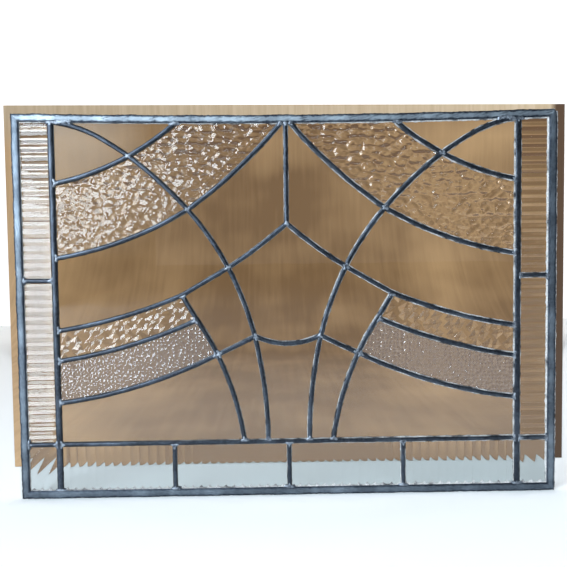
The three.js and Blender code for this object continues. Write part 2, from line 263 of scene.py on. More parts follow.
# %% [markdown]
# ## Shaders written as arithmetic
# A finish is a small sum: so much pale bloom where a noise is high, a little less roughness where the
# lead is rubbed. The class below wraps a number inside a shader, so that such a sum can be written as
# Python arithmetic, and each operation adds its Math node.

# %% Shader helpers
class Value:
    """A number or colour inside a shader. Arithmetic on it adds Math nodes."""

    def __init__(self, shader, socket):
        self.shader, self.socket = shader, socket

    def math(self, operation, *values, clamp=False):
        """The Math node of that operation, on this value or on the values given."""
        inputs = dict(enumerate(values or (self,)))
        return self.shader.node("ShaderNodeMath", {"operation": operation, "use_clamp": clamp}, inputs)

    def __add__(self, other):
        return self.math("ADD", self, other)

    def __sub__(self, other):
        return self.math("SUBTRACT", self, other)

    def __rsub__(self, other):
        return self.math("SUBTRACT", other, self)

    def __mul__(self, other):
        return self.math("MULTIPLY", self, other)

    __radd__, __rmul__ = __add__, __mul__

    def step(self, low, high):
        """0 at low, 1 at high, a straight line between and no more beyond; low may be the larger."""
        rise = 1 / (high - low)
        return self.math("MULTIPLY_ADD", self, rise, -low * rise, clamp=True)


class Shader:
    """A material and its nodes."""

    def __init__(self, name):
        self.material = bpy.data.materials.new(name)
        self.material.use_nodes = True
        self.tree = self.material.node_tree
        self.tree.nodes.clear()

    def node(self, kind, settings, inputs, output=0):
        """Adds a node: its type, its settings, then its sockets' values or links. Gives one output."""
        node = self.tree.nodes.new(kind)
        for name, setting in settings.items():
            setattr(node, name, setting)
        for key, value in inputs.items():
            if isinstance(value, Value):
                self.tree.links.new(value.socket, node.inputs[key])
            else:
                node.inputs[key].default_value = value
        return Value(self, node.outputs[output])

    def place(self, scale=(1, 1, 1)):
        """Object coordinates, in metres, stretched by a Mapping node."""
        spot = self.node("ShaderNodeTexCoord", {}, {}, "Object")
        return self.node("ShaderNodeMapping", {"vector_type": "TEXTURE"}, {"Vector": spot, "Scale": scale})

    def axis(self, number):
        """One object coordinate in metres: 0 across, 1 through the panel, 2 up."""
        return self.node("ShaderNodeSeparateXYZ", {}, {"Vector": self.place()}, number)

    def fan(self, tip):
        """One value along each ray from a tip: the way right of it over the way behind it."""
        return self.axis(0).math("DIVIDE", self.axis(0) - tip[0], self.axis(1) - tip[1])

    def noise(self, size, detail=3.0, place=None):
        """Noise from 0 to 1 whose patches are about that many millimetres across."""
        inputs = {"Vector": place or self.place(), "Scale": 1 / (size * MM), "Detail": detail}
        return self.node("ShaderNodeTexNoise", {}, {**inputs, "Roughness": 0.55}, "Fac")

    def mix(self, share, first, second):
        """A colour between two colours."""
        inputs = {"Factor": share, 6: first, 7: second}
        return self.node("ShaderNodeMix", {"data_type": "RGBA"}, inputs, 2)

    def finish(self, surface, bump=None, depth=0.1):
        """A Principled shader with the sockets given, and a bump that many millimetres deep."""
        if bump is not None:
            raised = {"Height": bump, "Distance": depth * MM, "Strength": 1.0}
            surface = {**surface, "Normal": self.node("ShaderNodeBump", {}, raised)}
        shader = self.node("ShaderNodeBsdfPrincipled", {}, surface)
        output = self.tree.nodes.new("ShaderNodeOutputMaterial")
        self.tree.links.new(shader.socket, output.inputs["Surface"])
        return self.material


def tint(red, green, blue):
    """A shader colour from a screen colour of 0 to 255, by the sRGB curve."""
    screen = np.array([red, green, blue]) / 255
    linear = np.where(screen <= 0.04045, screen / 12.92, ((screen + 0.055) / 1.055) ** 2.4)
    return (*linear.tolist(), 1.0)


print("a mid screen grey of 128 is", round(tint(128, 128, 128)[0], 3), "in a shader")

# %% [markdown]
# ## The finish of lead
# Lead came leaves the mill bright and turns slate blue within weeks, darkest where a stove brush has
# polished cement dust into it and pale where it is rubbed. The shader mixes a dark slate and a paler
# bloom by two noises of different size. The crown is where the surface stands furthest out of the
# panel, so the coordinate through the panel finds it. Its pale band is partly worn lead and partly a
# painted highlight, the line of light along the crest of each strip.

# %% Lead, solder and cement
def lead_finish(name, dark, pale, crown, wear_and_sheen, rough):
    """Patina from dark to pale. Crown gives the heights, in millimetres out of the middle plane, between
    which a pale band grows, and the next argument gives its share. The band is partly worn by rubbing
    and partly a painted highlight along the crest."""
    shader = Shader(name)
    bloom = shader.noise(38.0).step(0.45, 0.72)
    mottle = shader.noise(3.2, detail=4.0).step(0.40, 0.75)
    scratch = shader.noise(0.7, detail=2.0)
    # Crown band: partly worn by rubbing, partly a painted highlight along the crest.
    rubbed_and_sheen = shader.axis(1).math("ABSOLUTE").step(crown[0] * MM, crown[1] * MM)
    share = bloom * 0.2 + mottle * 0.2 + rubbed_and_sheen * (bloom * 0.5 + 0.5) * wear_and_sheen
    colour = shader.mix(share, dark, pale)
    surface = {"Base Color": colour, "Metallic": 0.85, "Roughness": rough + mottle * 0.2}
    return shader.finish(surface, bump=mottle * 0.6 + scratch * 0.4, depth=0.12)


def solder_finish():
    """Dull tin and lead, clouded from dark to pale."""
    shader = Shader("solder")
    cloud = shader.noise(4.0, detail=4.0).step(0.35, 0.68)
    colour = shader.mix(cloud, tint(62, 68, 78), tint(150, 160, 172))
    surface = {"Base Color": colour, "Metallic": 0.75, "Roughness": 0.34 + cloud * 0.2}
    return shader.finish(surface, bump=cloud, depth=0.15)


def putty_finish(name, dusty, pale):
    """Linseed putty, black with grate polish where it was brushed, and dusty with whiting elsewhere. The
    whiting lies in patches, from a share of dusty at the left to all of the patches at the right."""
    shader = Shader(name)
    grain = shader.noise(1.2, detail=4.0)
    black = shader.mix(grain.step(0.35, 0.65), tint(16, 18, 22), tint(46, 48, 52))
    grey = tint(pale - 60, pale - 57, pale - 54)
    white = shader.mix(grain.step(0.35, 0.65), grey, tint(pale, pale, pale))
    patches = shader.noise(16.0).step(0.38 - 0.1 * dusty, 0.56 - 0.1 * dusty)
    dust = patches * (shader.axis(0).step(-0.20, 0.10) * (1 - dusty) + dusty)
    return shader.finish({"Base Color": shader.mix(dust, black, white), "Roughness": 0.9}, grain, 0.3)


# The crown bands are partly worn lead and partly painted highlight; the top border's copy is paler, as
# painted highlight.
LEAD = lead_finish("lead", tint(26, 30, 37), tint(112, 124, 140), (2.7, 3.4), 0.15, 0.30)
EDGE_LEAD = lead_finish("edge_lead", tint(32, 39, 50), tint(122, 134, 146), (3.12, 3.38), 0.7, 0.42)
# A paler copy of the lead with its whole crown band pale: a painted highlight for the light from the front
# and above.
TOP_LEAD_HIGHLIGHT = lead_finish("top_lead", tint(24, 31, 44), tint(158, 172, 184), (3.24, 3.38), 1.0, 0.46)
SOLDER = solder_finish()
PUTTY = putty_finish("putty", dusty=0.0, pale=188)
CEMENT = putty_finish("cement", dusty=0.8, pale=204)
print("finishes:", LEAD.name, EDGE_LEAD.name, SOLDER.name, PUTTY.name, CEMENT.name)

# %% [markdown]
# ## Strips of came
# Came is an extruded H: two domed leaves joined by a web. Its leaf is half an ellipse here, which takes
# light on one flank and shade on the other. The widths are read from the CAD, less a little, because the
# hand-worked strip swells and drifts.

# %% Section of a came
def lead_size(node, axis):
    """Extent of a CAD node along an axis (0 across, 2 up), in millimetres."""
    low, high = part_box(node)
    return (high[axis] - low[axis]) / MM


LEAF_SHARE = 0.9
LINE_HALF = LEAF_SHARE * lead_size("lead_rail_middle", 2) / 2
POST_HALF = LEAF_SHARE * lead_size("lead_post_left", 0) / 2
LEAF_FLOOR = 2.1
LEAF_EDGE = 0.35
WEB_HALF = 0.75


def came_section(half, steps=8):
    """Closed H section as [across, through] points: a half ellipse on a short upright edge for each
    leaf, and a web between the leaves."""
    angle = np.linspace(0, np.pi, steps + 1)
    rise = CREST - LEAF_FLOOR - LEAF_EDGE
    dome = np.stack([half * np.cos(angle), LEAF_FLOOR + LEAF_EDGE + rise * np.sin(angle)], axis=1)
    feet = np.array([[-half, LEAF_FLOOR], [-WEB_HALF, LEAF_FLOOR]])
    back = np.concatenate([[[half, LEAF_FLOOR]], dome, feet])
    return np.concatenate([back, -back])


print(f"came {2 * LINE_HALF:.1f} and {2 * POST_HALF:.1f} mm wide, {len(came_section(1.0))} points round")

# %% [markdown]
# Carried along a line, each point of a section keeps its distance to the right of the line and out of
# the plane. The ends are drawn out a little, to sink into the next strip.

# %% Carry a section along a line
END_REACH = 1.6


def right_of(line):
    """Unit vectors to the right of the way along a line."""
    way = np.gradient(line, axis=0)
    way /= np.hypot(*way.T)[:, None]
    return np.stack([way[:, 1], -way[:, 0]], axis=1)


def stretched(line, reach):
    """The line with both ends drawn out by a reach, straight on."""
    first, last = line[1] - line[0], line[-1] - line[-2]
    line = line.copy()
    line[0] -= first / np.hypot(*first) * reach
    line[-1] += last / np.hypot(*last) * reach
    return line


def carried(path, across, through):
    """Grid of points: section point k at line point i stands across[i, k] to the right of the line and
    through[i, k] out of its plane."""
    spot = path[:, None] + right_of(path)[:, None] * across[..., None]
    return np.stack([spot[..., 0], np.broadcast_to(through, across.shape), spot[..., 1]], axis=-1)


def tube_faces(rows, columns):
    """Quads round a closed section carried along a path, and a flat face at each end."""
    ends = [list(range(columns)), list(range((rows - 1) * columns, rows * columns))]
    return grid_quads(rows, columns, wrap=True).tolist() + ends


print("a square section on 3 points has", len(tube_faces(3, 4)), "faces")

# %% [markdown]
# Lead is soft. A strip drifts a little from its line as it is pulled round a pane, swells where it is
# pressed down by hand, and is full of shallow dents. Cement is brushed into its grooves and stands out
# past the leaf as a ragged fillet.

# %% Came and cement
DRIFT, SWELL, DENT = 0.12, 0.035, 0.05
FILLET_OUT, FILLET_IN = 1.6, 2.25
TUCK = 0.15
REED_PITCH = 10.0


def came(name, line, half, seed, node):
    """A strip of came along a line. Point (i, k) is line point i, moved right by the section's across
    and out of the plane by its through, with the section drifting, swelling and dented by waves."""
    path = stretched(smooth_line(line, STEP), END_REACH)
    along = distance_along(path)
    path = path + right_of(path) * (DRIFT * waves(along, seed, longest=110, shortest=30))[:, None]
    section = came_section(half)
    swell = 1 + SWELL * waves(along, seed + 1, longest=45, shortest=7)
    dent = DENT * waves(along[:, None] + 9.0 * section[:, 0], seed + 2, longest=14, shortest=4)
    on_leaf = np.abs(section[:, 1]) > LEAF_FLOOR + LEAF_EDGE
    through = section[:, 1] + np.sign(section[:, 1]) * dent * on_leaf
    points = carried(path, section[:, 0] * swell[:, None], through)
    return add_piece(name, points, tube_faces(*through.shape), LEAD, [node])


def putty(name, line, half, seed, material=PUTTY, reach=(0.38, 0.38), tick=0.0):
    """Cement in the groove of a strip: a low fillet that shows past the leaf by a reach on the right and
    on the left, ragged by waves of its own on each side, and up to twice as wide towards the right of
    the panel. A tick adds a tongue between reeds."""
    path = stretched(smooth_line(line, 1.0 if tick else STEP), END_REACH)
    along = distance_along(path)
    wide = 1 + np.clip((path[:, 0] + 150) / 300, 0, 1)
    tongue = tick * np.abs(np.cos(np.pi * along / REED_PITCH)) ** 9
    uneven = [waves(along, seed + side, longest=30, shortest=4) for side in (3, 4)]
    ragged = [wide * (1 + 0.45 * np.abs(wave)) for wave in uneven]
    right = half + (ragged[0] * reach[0] + tongue) * (reach[0] > 0)
    left = -half - (ragged[1] * reach[1] + tongue) * (reach[1] > 0)
    tuck = np.full(len(along), half - TUCK)
    across = np.stack([right, tuck, -tuck, left, left, -tuck, tuck, right], axis=1)
    front = [FILLET_OUT, FILLET_IN, FILLET_IN, FILLET_OUT]
    through = np.array(front + [-height for height in front])
    return add_piece(name, carried(path, across, through), tube_faces(*across.shape), material)


print("fillets of cement from", FILLET_OUT, "to", FILLET_IN, "mm out of the middle plane")

# %% [markdown]
# The two sweeps don't stop where they meet the top border. The leading is bent to lie along it as far as
# the post, so that no sliver of glass is left in the corner.

# %% Lead strips of the field and the margin
BEND = 16.0
SWEEP_ENDS = (180, 265)
POST_FACE = 268


def bent_to_post(line):
    """A line whose end near the top border runs on along the border to the post: its last points, for
    the length of the bend, give way to two points just under the border."""
    ends = line[[0, -1]]
    end = ends[ends[:, 1].argmax()]
    if not (end[1] > HEIGHT - BEND and SWEEP_ENDS[0] < abs(end[0]) < SWEEP_ENDS[1]):
        return line
    side = np.sign(end[0])
    far = np.hypot(*(line - end).T) > BEND
    under, post = [end[0] + 5 * side, end[1] - 1.2], [side * POST_FACE, end[1] + 0.4]
    kept = line[far] if line[0, 1] < line[-1, 1] else line[far][::-1]
    return np.concatenate([kept, [under, post]])


lead_lines = []
for node in sorted(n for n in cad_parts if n.startswith("lead_") and "border" not in n):
    half = POST_HALF if "post" in node else LINE_HALF
    lines = crest_lines(node, CREST)
    if "fan" in node:
        lines += crest_lines(node, LOW_CREST)
    for number, line in enumerate(map(bent_to_post, lines)):
        name = node.replace("lead_", "came_") + (f"_{number}" if len(lines) > 1 else "")
        came(name, line, half, 10 * len(lead_lines), node)
        putty(name.replace("came", "putty"), line, half, 10 * len(lead_lines))
        lead_lines.append(smooth_line(line, STEP))
print(len(lead_lines), "strips of came")

# %% [markdown]
# ## Solder
# Every place where strips meet is soldered on both faces: a drop of tin and lead that floods the joint
# and runs a little way along each strip. First the joints are found, as the places where strips end,
# and then the directions in which lead leaves each of them. Where a sweep lies along the top border, two
# more drops hold it there.

# %% Find the joints
BORDER_REACH = 14
BENT_JOINTS = [[x, HEIGHT - 9.6] for x in (-263, -254, 254, 263)]


def joints_of(lines, reach=4.0):
    """Places where lines end, with ends within a reach of each other made one."""
    ends = np.concatenate([line[[0, -1]] for line in lines])
    joints = []
    while len(ends):
        near = np.hypot(*(ends - ends[0]).T) < reach
        joints.append(ends[near].mean(0))
        ends = ends[~near]
    return joints


def arms_at(spot, lines, reach=6.0):
    """Angles in which lead leaves a place: both ways along a line that passes, one where it ends, and
    both ways along the border where that is near."""
    arms = []
    for line in lines:
        away = np.hypot(*(line - spot).T)
        i = int(away.argmin())
        if away[i] < reach:
            for j in (i - 3, i + 3):
                if 0 <= j < len(line):
                    arms.append(math.atan2(line[j, 1] - spot[1], line[j, 0] - spot[0]))
    for axis, size in ((0, WIDTH / 2), (1, HEIGHT / 2)):
        if abs(abs(spot[axis] - axis * size) - size) < BORDER_REACH:
            arms += [math.pi / 2 * (1 - axis), math.pi / 2 * (1 - axis) + math.pi]
    return arms


joints = joints_of(lead_lines) + BENT_JOINTS
print(len(joints), "soldered joints")

# %% [markdown]
# Molten solder draws itself up to a low dome, steep at its rim, and creeps furthest along the strips the
# iron has passed over. A drop is drawn as rings round the joint, and each ring bulges along every arm.

# %% Solder drops
DROP, LOBE = 2.5, 2.6
LOBE_FOCUS = 11
DOME = 2.6


def solder_drop(spot, arms, seed, rings=7, spokes=40):
    """Points of a drop on the front: rings round a place, whose radius is a round drop with a lobe of
    one to two times the plain one along each arm, and whose height falls off as a dome, fast at the
    rim."""
    draw = np.random.default_rng(seed)
    angle = np.linspace(0, 2 * np.pi, spokes, endpoint=False)
    ragged = 0.12 * waves(angle * 8 / np.pi, seed, longest=16, shortest=4)
    radius = DROP + 0.4 * draw.random() + ragged
    for arm in arms:
        radius = radius + (LOBE + LOBE * draw.random()) * np.exp(LOBE_FOCUS * (np.cos(angle - arm) - 1))
    share = np.linspace(0, 1, rings)[:, None]
    top = CREST + 0.1 + 0.2 * draw.random()
    height = LEAF_FLOOR + (top - LEAF_FLOOR) * np.sqrt(1 - share ** DOME)
    x = spot[0] + share * radius * np.cos(angle)
    z = spot[1] + share * radius * np.sin(angle)
    return np.stack([x, np.broadcast_to(-height, x.shape), z], axis=-1)


def solder_faces(rings, spokes):
    """Quads of the dome, and the flat face under it."""
    return grid_quads(rings, spokes, wrap=True), np.arange((rings - 1) * spokes, rings * spokes)


def solder(side, lines):
    """All drops of one face of the panel as one piece; side is -1 for the front and 1 for the back."""
    points, faces, start = [], [], 0
    for number, spot in enumerate(joints):
        drop = solder_drop(spot, arms_at(spot, lines), 900 + number) * [1, -side, 1]
        quads, under = solder_faces(*drop.shape[:2])
        faces += (quads + start).tolist() + [(under + start).tolist()]
        points.append(drop.reshape(-1, 3))
        start += len(points[-1])
    name = "solder_front" if side < 0 else "solder_back"
    return add_piece(name, np.concatenate(points), faces, SOLDER)


for side in (-1, 1):
    print("drops on side", side, "with", len(solder(side, lead_lines).data.polygons), "faces")

# %% [markdown]
# ## The border
# The border is a broader came with a flat face. It is mitred at three corners and bent round the upper
# right one. The panel has sagged a little, so the top border hangs lower in the middle.

# %% Shape of the border
BORDER = lead_size("lead_border_left", 0)
BORDER_FLOOR = 3.5
SQUARENESS = 2.6
CORNER_RADIUS = 7.0


def top_edge(x):
    """Height of the panel's upper edge: a shallow sag, read from the top border's box and its middle."""
    return HEIGHT - TOP_SAG * (1 - (2 * x / WIDTH) ** 2)


def top_sag():
    """How far the upper edge hangs at the middle."""
    points, _ = merged("lead_border_top")
    middle = points[np.abs(points[:, 0]) < 1]
    return HEIGHT - middle[:, 2].max()


TOP_SAG = top_sag()


def border_section(steps=10):
    """Closed C section as [in from the outer edge, through] points. A leaf's face is a superellipse,
    flat in the middle and rounded at both edges."""
    u = -np.cos(np.linspace(0, np.pi, steps + 1))
    face = LEAF_FLOOR + LEAF_EDGE + (CREST - LEAF_FLOOR - LEAF_EDGE) * np.sqrt(1 - np.abs(u) ** SQUARENESS)
    back = np.stack([(1 + u) * BORDER / 2, face], axis=1)
    floor = np.array([[BORDER, LEAF_FLOOR], [BORDER_FLOOR, LEAF_FLOOR]])
    half = np.concatenate([back, floor])
    return np.concatenate([half, (half * [1, -1])[::-1]])


def rounded_corner(x, z):
    """The came is bent round at the upper right corner. There, each square ring about the point one
    radius in from the corner becomes a round one."""
    right, up = x - WIDTH / 2 + CORNER_RADIUS, z - HEIGHT + CORNER_RADIUS
    inside = (right > 0) & (up > 0)
    pull = np.where(inside, np.maximum(right, up) / np.maximum(np.hypot(right, up), 1e-6), 1)
    return x + right * (pull - 1), z + up * (pull - 1)


print(f"border {BORDER:.1f} mm wide, top sags {TOP_SAG:.1f} mm")

# %% [markdown]
# The outer edge has been dressed with a knife, so it wanders by a fraction of a millimetre. Cement fills
# the groove of the border too. At the foot it comes out between the reeds in tongues.

# %% Border strips
def border(side, seed, material):
    """A border strip. The way along runs from mitre to mitre, shorter by the distance in from the edge,
    and the outer edge wanders by waves that die away inwards."""
    section = border_section()
    length = WIDTH if side in ("top", "bottom") else HEIGHT
    share = np.linspace(0, 1, round(length / STEP) + 1)[:, None]
    inwards = section[:, 0]
    along = inwards + share * (length - 2 * inwards)
    wander = 0.22 * waves(along, seed, longest=90, shortest=9)
    wander = wander + 0.12 * waves(along, seed + 1, longest=7, shortest=3)
    on_leaf = np.abs(section[:, 1]) > LEAF_FLOOR + LEAF_EDGE
    dent = DENT * waves(along + 40 * np.sin(inwards / 3), seed + 2, longest=26, shortest=6) * on_leaf
    depth = inwards + wander * (1 - inwards / BORDER)
    through = section[:, 1] + np.sign(section[:, 1]) * dent
    across = along - WIDTH / 2 if length == WIDTH else along
    x, z = rounded_corner(*{
        "left": (depth - WIDTH / 2, across),
        "right": (WIDTH / 2 - depth, across),
        "bottom": (across, depth),
        "top": (across, top_edge(across) - depth),
    }[side])
    points = np.stack([x, through, z], axis=-1)
    faces = tube_faces(*through.shape)
    return add_piece(f"border_{side}", points, faces, material, [f"lead_border_{side}"])


# The top border takes the paler copy of the lead, a painted highlight.
for number, side in enumerate(("top", "right", "bottom", "left")):
    border(side, 700 + 10 * number, TOP_LEAD_HIGHLIGHT if side == "top" else EDGE_LEAD)
x, z = WIDTH / 2 - BORDER / 2, HEIGHT - BORDER / 2
rim = {
    "left": ([[-x, BORDER / 2], [-x, z]], (0.3, 0.0), 0.0),
    "right": ([[x, BORDER / 2], [x, z]], (0.4, 0.5), 0.0),
    "bottom": ([[-x, BORDER / 2], [x, BORDER / 2]], (0.0, 0.35), 2.4),
    "top": ([[spot, top_edge(spot) - BORDER / 2] for spot in np.linspace(-x, x, 9)], (0.45, 0.0), 0.0),
}
for number, (side, (line, reach, tick)) in enumerate(rim.items()):
    half = BORDER / 2 - 0.1
    putty(f"putty_border_{side}", np.array(line), half, 760 + 10 * number, CEMENT, reach, tick)
print("cement along", ", ".join(rim))

# %% [markdown]
# ## Glass
# The clear panes are flat sheet, so the CAD panes stay, with a glass shader. It is see-through by plain
# values: full transmission and the refractive index of window glass. The patterned sheets are real
# relief, because what makes a pattern visible is how its slopes bend the room behind.

# %% Glass finishes
def glass_finish(name, colour, wave, depth, clear=1.0):
    """See-through glass with a faint unevenness whose waves are that many millimetres long. Clear is the
    share of light that isn't held back by dust in the pattern."""
    shader = Shader(name)
    surface = {"Base Color": colour, "Roughness": 0.0, "IOR": 1.5, "Transmission Weight": clear}
    return shader.finish(surface, bump=shader.noise(wave, detail=1.0), depth=depth)


CLEAR = glass_finish("clear_glass", (0.98, 0.99, 0.985, 1), 60.0, 0.06)
REEDED = glass_finish("reeded_glass", (0.97, 0.985, 0.98, 1), 25.0, 0.05)
HAMMERED = glass_finish("hammered_glass", (0.97, 0.98, 0.975, 1), 4.0, 0.02)
SHARD = glass_finish("shard_glass", (0.97, 0.98, 0.975, 1), 4.0, 0.02)
STIPPLE = glass_finish("stipple_glass", (0.68, 0.68, 0.71, 1), 2.0, 0.02, clear=0.96)


def lets_light_through(pane):
    """Light for what stands behind passes a pane straight, so that only the lead throws a shadow."""
    pane.visible_shadow = pane.visible_diffuse = False
    return pane


clear_panes = [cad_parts[node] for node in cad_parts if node.startswith("glass_clear")]
for pane in map(lets_light_through, clear_panes):
    pane.data.materials.clear()
    pane.data.materials.append(CLEAR)
print(len(clear_panes), "clear panes")

# %% [markdown]
# ## Rolled glass
# Reeded glass passes between a smooth roller and a grooved one, so one face is flat and the other carries
# even, round reeds. Here the reeds lie level in the two margins, stand upright along the base, and run
# slantwise in the lower corners. The front of a pane becomes a grid that follows its four sides, so that
# the pane keeps its outline, and the relief moves the points of that grid.

# %% A grid over a pane
def evenly(side, count):
    """Points at even steps along a side."""
    reach = distance_along(side)
    along = np.linspace(0, reach[-1], count)
    return np.stack([np.interp(along, reach, side[:, axis]) for axis in (0, 1)], axis=1)


def patch(node, step):
    """A grid of [x, z] points that fills a four-sided pane: each point blends its two pairs of facing
    sides, less the flat blend of the corners (a Coons patch)."""
    a, b, c, d = pane_sides(node)
    columns = round(max(distance_along(side)[-1] for side in (a, c)) / step) + 1
    rows = round(max(distance_along(side)[-1] for side in (b, d)) / step) + 1
    low, high = evenly(a, columns)[None], evenly(c[::-1], columns)[None]
    near, far = evenly(d[::-1], rows)[:, None], evenly(b, rows)[:, None]
    u = np.linspace(0, 1, columns)[None, :, None]
    v = np.linspace(0, 1, rows)[:, None, None]
    flat = ((1 - u) * (1 - v) * low[:, :1] + u * (1 - v) * low[:, -1:]
            + (1 - u) * v * high[:, :1] + u * v * high[:, -1:])
    return (1 - v) * low + v * high + (1 - u) * near + u * far - flat


def sheet_faces(rows, columns):
    """Quads of the front grid, quads of the four edges and one flat back, whose rim follows the front's.
    Front points come first, row by row, then a back point behind each point of the rim."""
    number = np.arange(rows * columns).reshape(rows, columns)
    rim = np.concatenate([number[0, :-1], number[:-1, -1], number[-1, :0:-1], number[:0:-1, 0]])
    behind = rows * columns + np.arange(len(rim))
    walls = np.stack([rim, np.roll(rim, -1), np.roll(behind, -1), behind], axis=1)
    return rim, grid_quads(rows, columns).tolist() + walls.tolist() + [behind.tolist()]


def pressed_sheet(node, step, relief, material, sharp=40.0):
    """A pane with relief(x, z), in millimetres towards the front, pressed into its front face."""
    low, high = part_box(node)
    back, front = high.y / MM, low.y / MM
    spots = patch(node, step)
    x, z = spots[..., 0], spots[..., 1]
    rows, columns = x.shape
    face = np.stack([x, front - relief(x, z), z], axis=-1).reshape(-1, 3)
    rim, faces = sheet_faces(rows, columns)
    points = np.concatenate([face, face[rim] * [1, 0, 1] + [0, back, 0]])
    name = node.replace("glass_", "pane_")
    slot = name.split("_")[1] + "_glass"
    return lets_light_through(add_piece(name, points, faces, material, [node], sharp))


print("a hammered pane in 5 mm steps:", patch("glass_hammered_inner_left", 5.0).shape[:2])

# %% [markdown]
# A reed is a parabola across its width. The reeds of the margin have a shallow flute along each flank,
# so that each gives two bright lines. Those of the corners are shallower than those of the base.

# %% Reeded panes
MARGIN_REED, FLUTE = 1.4, 0.2
BASE_REED = 1.6
CORNER_REED = {-1: 0.8, 1: 0.35}


def reeds(along, length, start, height, flute=0.0):
    """Round reeds, a whole number of them in a length. Each is a parabola, nothing at its middle and its
    height lower at its two edges, less a flute: a cosine with a trough on each flank."""
    count = round(length / REED_PITCH)
    share = ((along - start) / length * count) % 1
    return height * (4 * share * (1 - share) - 1) - flute * (1 - np.cos(4 * np.pi * share)) / 2


def reeded_sheet(node):
    """A reeded pane. Its place in the panel, read from its name, gives the way its reeds run."""
    low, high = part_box(node)
    left, right, bottom, top = low.x / MM, high.x / MM, low.z / MM, high.z / MM
    if "base" in node:
        return pressed_sheet(node, 0.7, lambda x, z: reeds(x, right - left, left, BASE_REED), REEDED)
    if "corner" in node:
        side = 1 if "right" in node else -1
        reach = right - left + top - bottom
        middle = ((left + right) / 2, (bottom + top) / 2)

        def slanted(x, z):
            across = ((x - middle[0]) + side * (z - middle[1])) / math.sqrt(2)
            return reeds(across, reach, -reach / 2, CORNER_REED[side])
        return pressed_sheet(node, 0.7, slanted, REEDED)

    def level(x, z):
        return reeds(z, top - bottom, bottom, MARGIN_REED, FLUTE)
    return pressed_sheet(node, 0.8, level, REEDED)


reeded = [reeded_sheet(node) for node in sorted(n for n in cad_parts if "reeded" in n)]
print(len(reeded), "reeded panes,", sum(len(pane.data.polygons) for pane in reeded), "faces")

# %% [markdown]
# ## Hammered, flaked and stippled glass
# The other rollers are engraved all over with small cells. Here they come from a lattice of seeds, each
# moved a little by a seeded draw: a place belongs to the seed nearest to it, and its way from that seed
# shapes a pebble, a flake or a bead.

# %% Cells and ripples
LATTICE = 256


def nearest(x, z, pitch, seed, spread):
    """Way right and up from the nearest of a jittered lattice of seeds, in pitches, and a number from
    -0.5 to 0.5 drawn for that seed. A seed lies in each square of the lattice."""
    u, v = x / pitch, z / pitch
    draw = np.random.default_rng(seed).uniform(-0.5, 0.5, (LATTICE, LATTICE, 3))
    best = [np.full(x.shape, 9.0), np.full(x.shape, 9.0), np.zeros(x.shape)]
    for down in (-1, 0, 1):
        for over in (-1, 0, 1):
            i, j = np.floor(u).astype(int) + over, np.floor(v).astype(int) + down
            jitter = draw[i % LATTICE, j % LATTICE]
            right = u - (i + 0.5 + spread * jitter[..., 0])
            up = v - (j + 0.5 + spread * jitter[..., 1])
            closer = np.hypot(right, up) < np.hypot(best[0], best[1])
            best = [np.where(closer, new, old) for new, old in zip((right, up, jitter[..., 2]), best)]
    return best


def ripples(x, z, length, seed, count=12):
    """Uneven ground of about unit size: a sum of sines in drawn directions, with lengths within a third
    of the one given."""
    draw = np.random.default_rng(seed)
    total = 0
    for way, phase, share in draw.random((count, 3)):
        along = x * math.cos(2 * math.pi * way) + z * math.sin(2 * math.pi * way)
        total = total + np.sin(2 * math.pi * (along / (length * (0.67 + 0.66 * share)) + phase))
    return total * math.sqrt(2 / count)


spots = np.meshgrid(np.linspace(0, 100, 50), np.linspace(0, 100, 50))
print("ripples vary by", round(float(ripples(*spots, 8.0, 12).std()), 2), "about their mean")

# %% [markdown]
# A pebble is nearly flat in the middle and steep at its rim, so that it shows as a clear spot with a dark
# edge. A flake is a low pyramid with sharp edges, and a bead is a small round cap.

# %% Three patterns
PEBBLE, PEBBLE_STRETCH, PEBBLE_BODY = 8.5, 1.7, 0.55
FLAKE, FLAKE_STRETCH, FLAKE_RISE = 11.5, 1.25, 1.6
FLAKE_HALF_LENGTH, FLAKE_HALF_WIDTH = 6.5, 4.6
BEAD = 4.6


def hammered(x, z):
    """Pebbles, wider than they are high: the height falls with the second and, inside the body, the
    fourth power of the distance from a cell's seed. Ripples of about the same size break up their
    slopes."""
    right, up, _ = nearest(x / PEBBLE_STRETCH, z, PEBBLE, 5, 0.8)
    away = np.hypot(right, up)
    pebble = -2.2 * away ** 2 - 6.0 * np.minimum(away, PEBBLE_BODY) ** 4
    return pebble + 0.19 * ripples(x, z, 8.0, 12)


def shards(x, z):
    """Scattered flakes, each a low pyramid on a rectangle that leans its own way, on flat ground."""
    right, up, turn = nearest(x / FLAKE_STRETCH, z, FLAKE, 8, 0.45)
    right, up = right * FLAKE_STRETCH * FLAKE, up * FLAKE
    lean = math.radians(42) + 0.6 * turn
    along = right * np.cos(lean) + up * np.sin(lean)
    across = up * np.cos(lean) - right * np.sin(lean)
    rise = 1 - np.maximum(np.abs(along) / FLAKE_HALF_LENGTH, np.abs(across) / FLAKE_HALF_WIDTH)
    return FLAKE_RISE * np.maximum(rise, 0) + 0.02 * ripples(x, z, 6.0, 13) - FLAKE_RISE


def stippled(x, z):
    """Small round beads."""
    right, up, _ = nearest(x, z, BEAD, 11, 0.65)
    return -1.8 * (right ** 2 + up ** 2)


for pattern, relief, step, material, sharp in (
    ("hammered", hammered, 0.9, HAMMERED, 60.0),
    ("shard", shards, 0.6, SHARD, 8.0),
    ("stipple", stippled, 0.5, STIPPLE, 60.0),
):
    for node in sorted(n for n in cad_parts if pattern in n):
        sheet = pressed_sheet(node, step, relief, material, sharp)
        print(sheet.name, len(sheet.data.polygons), "faces")

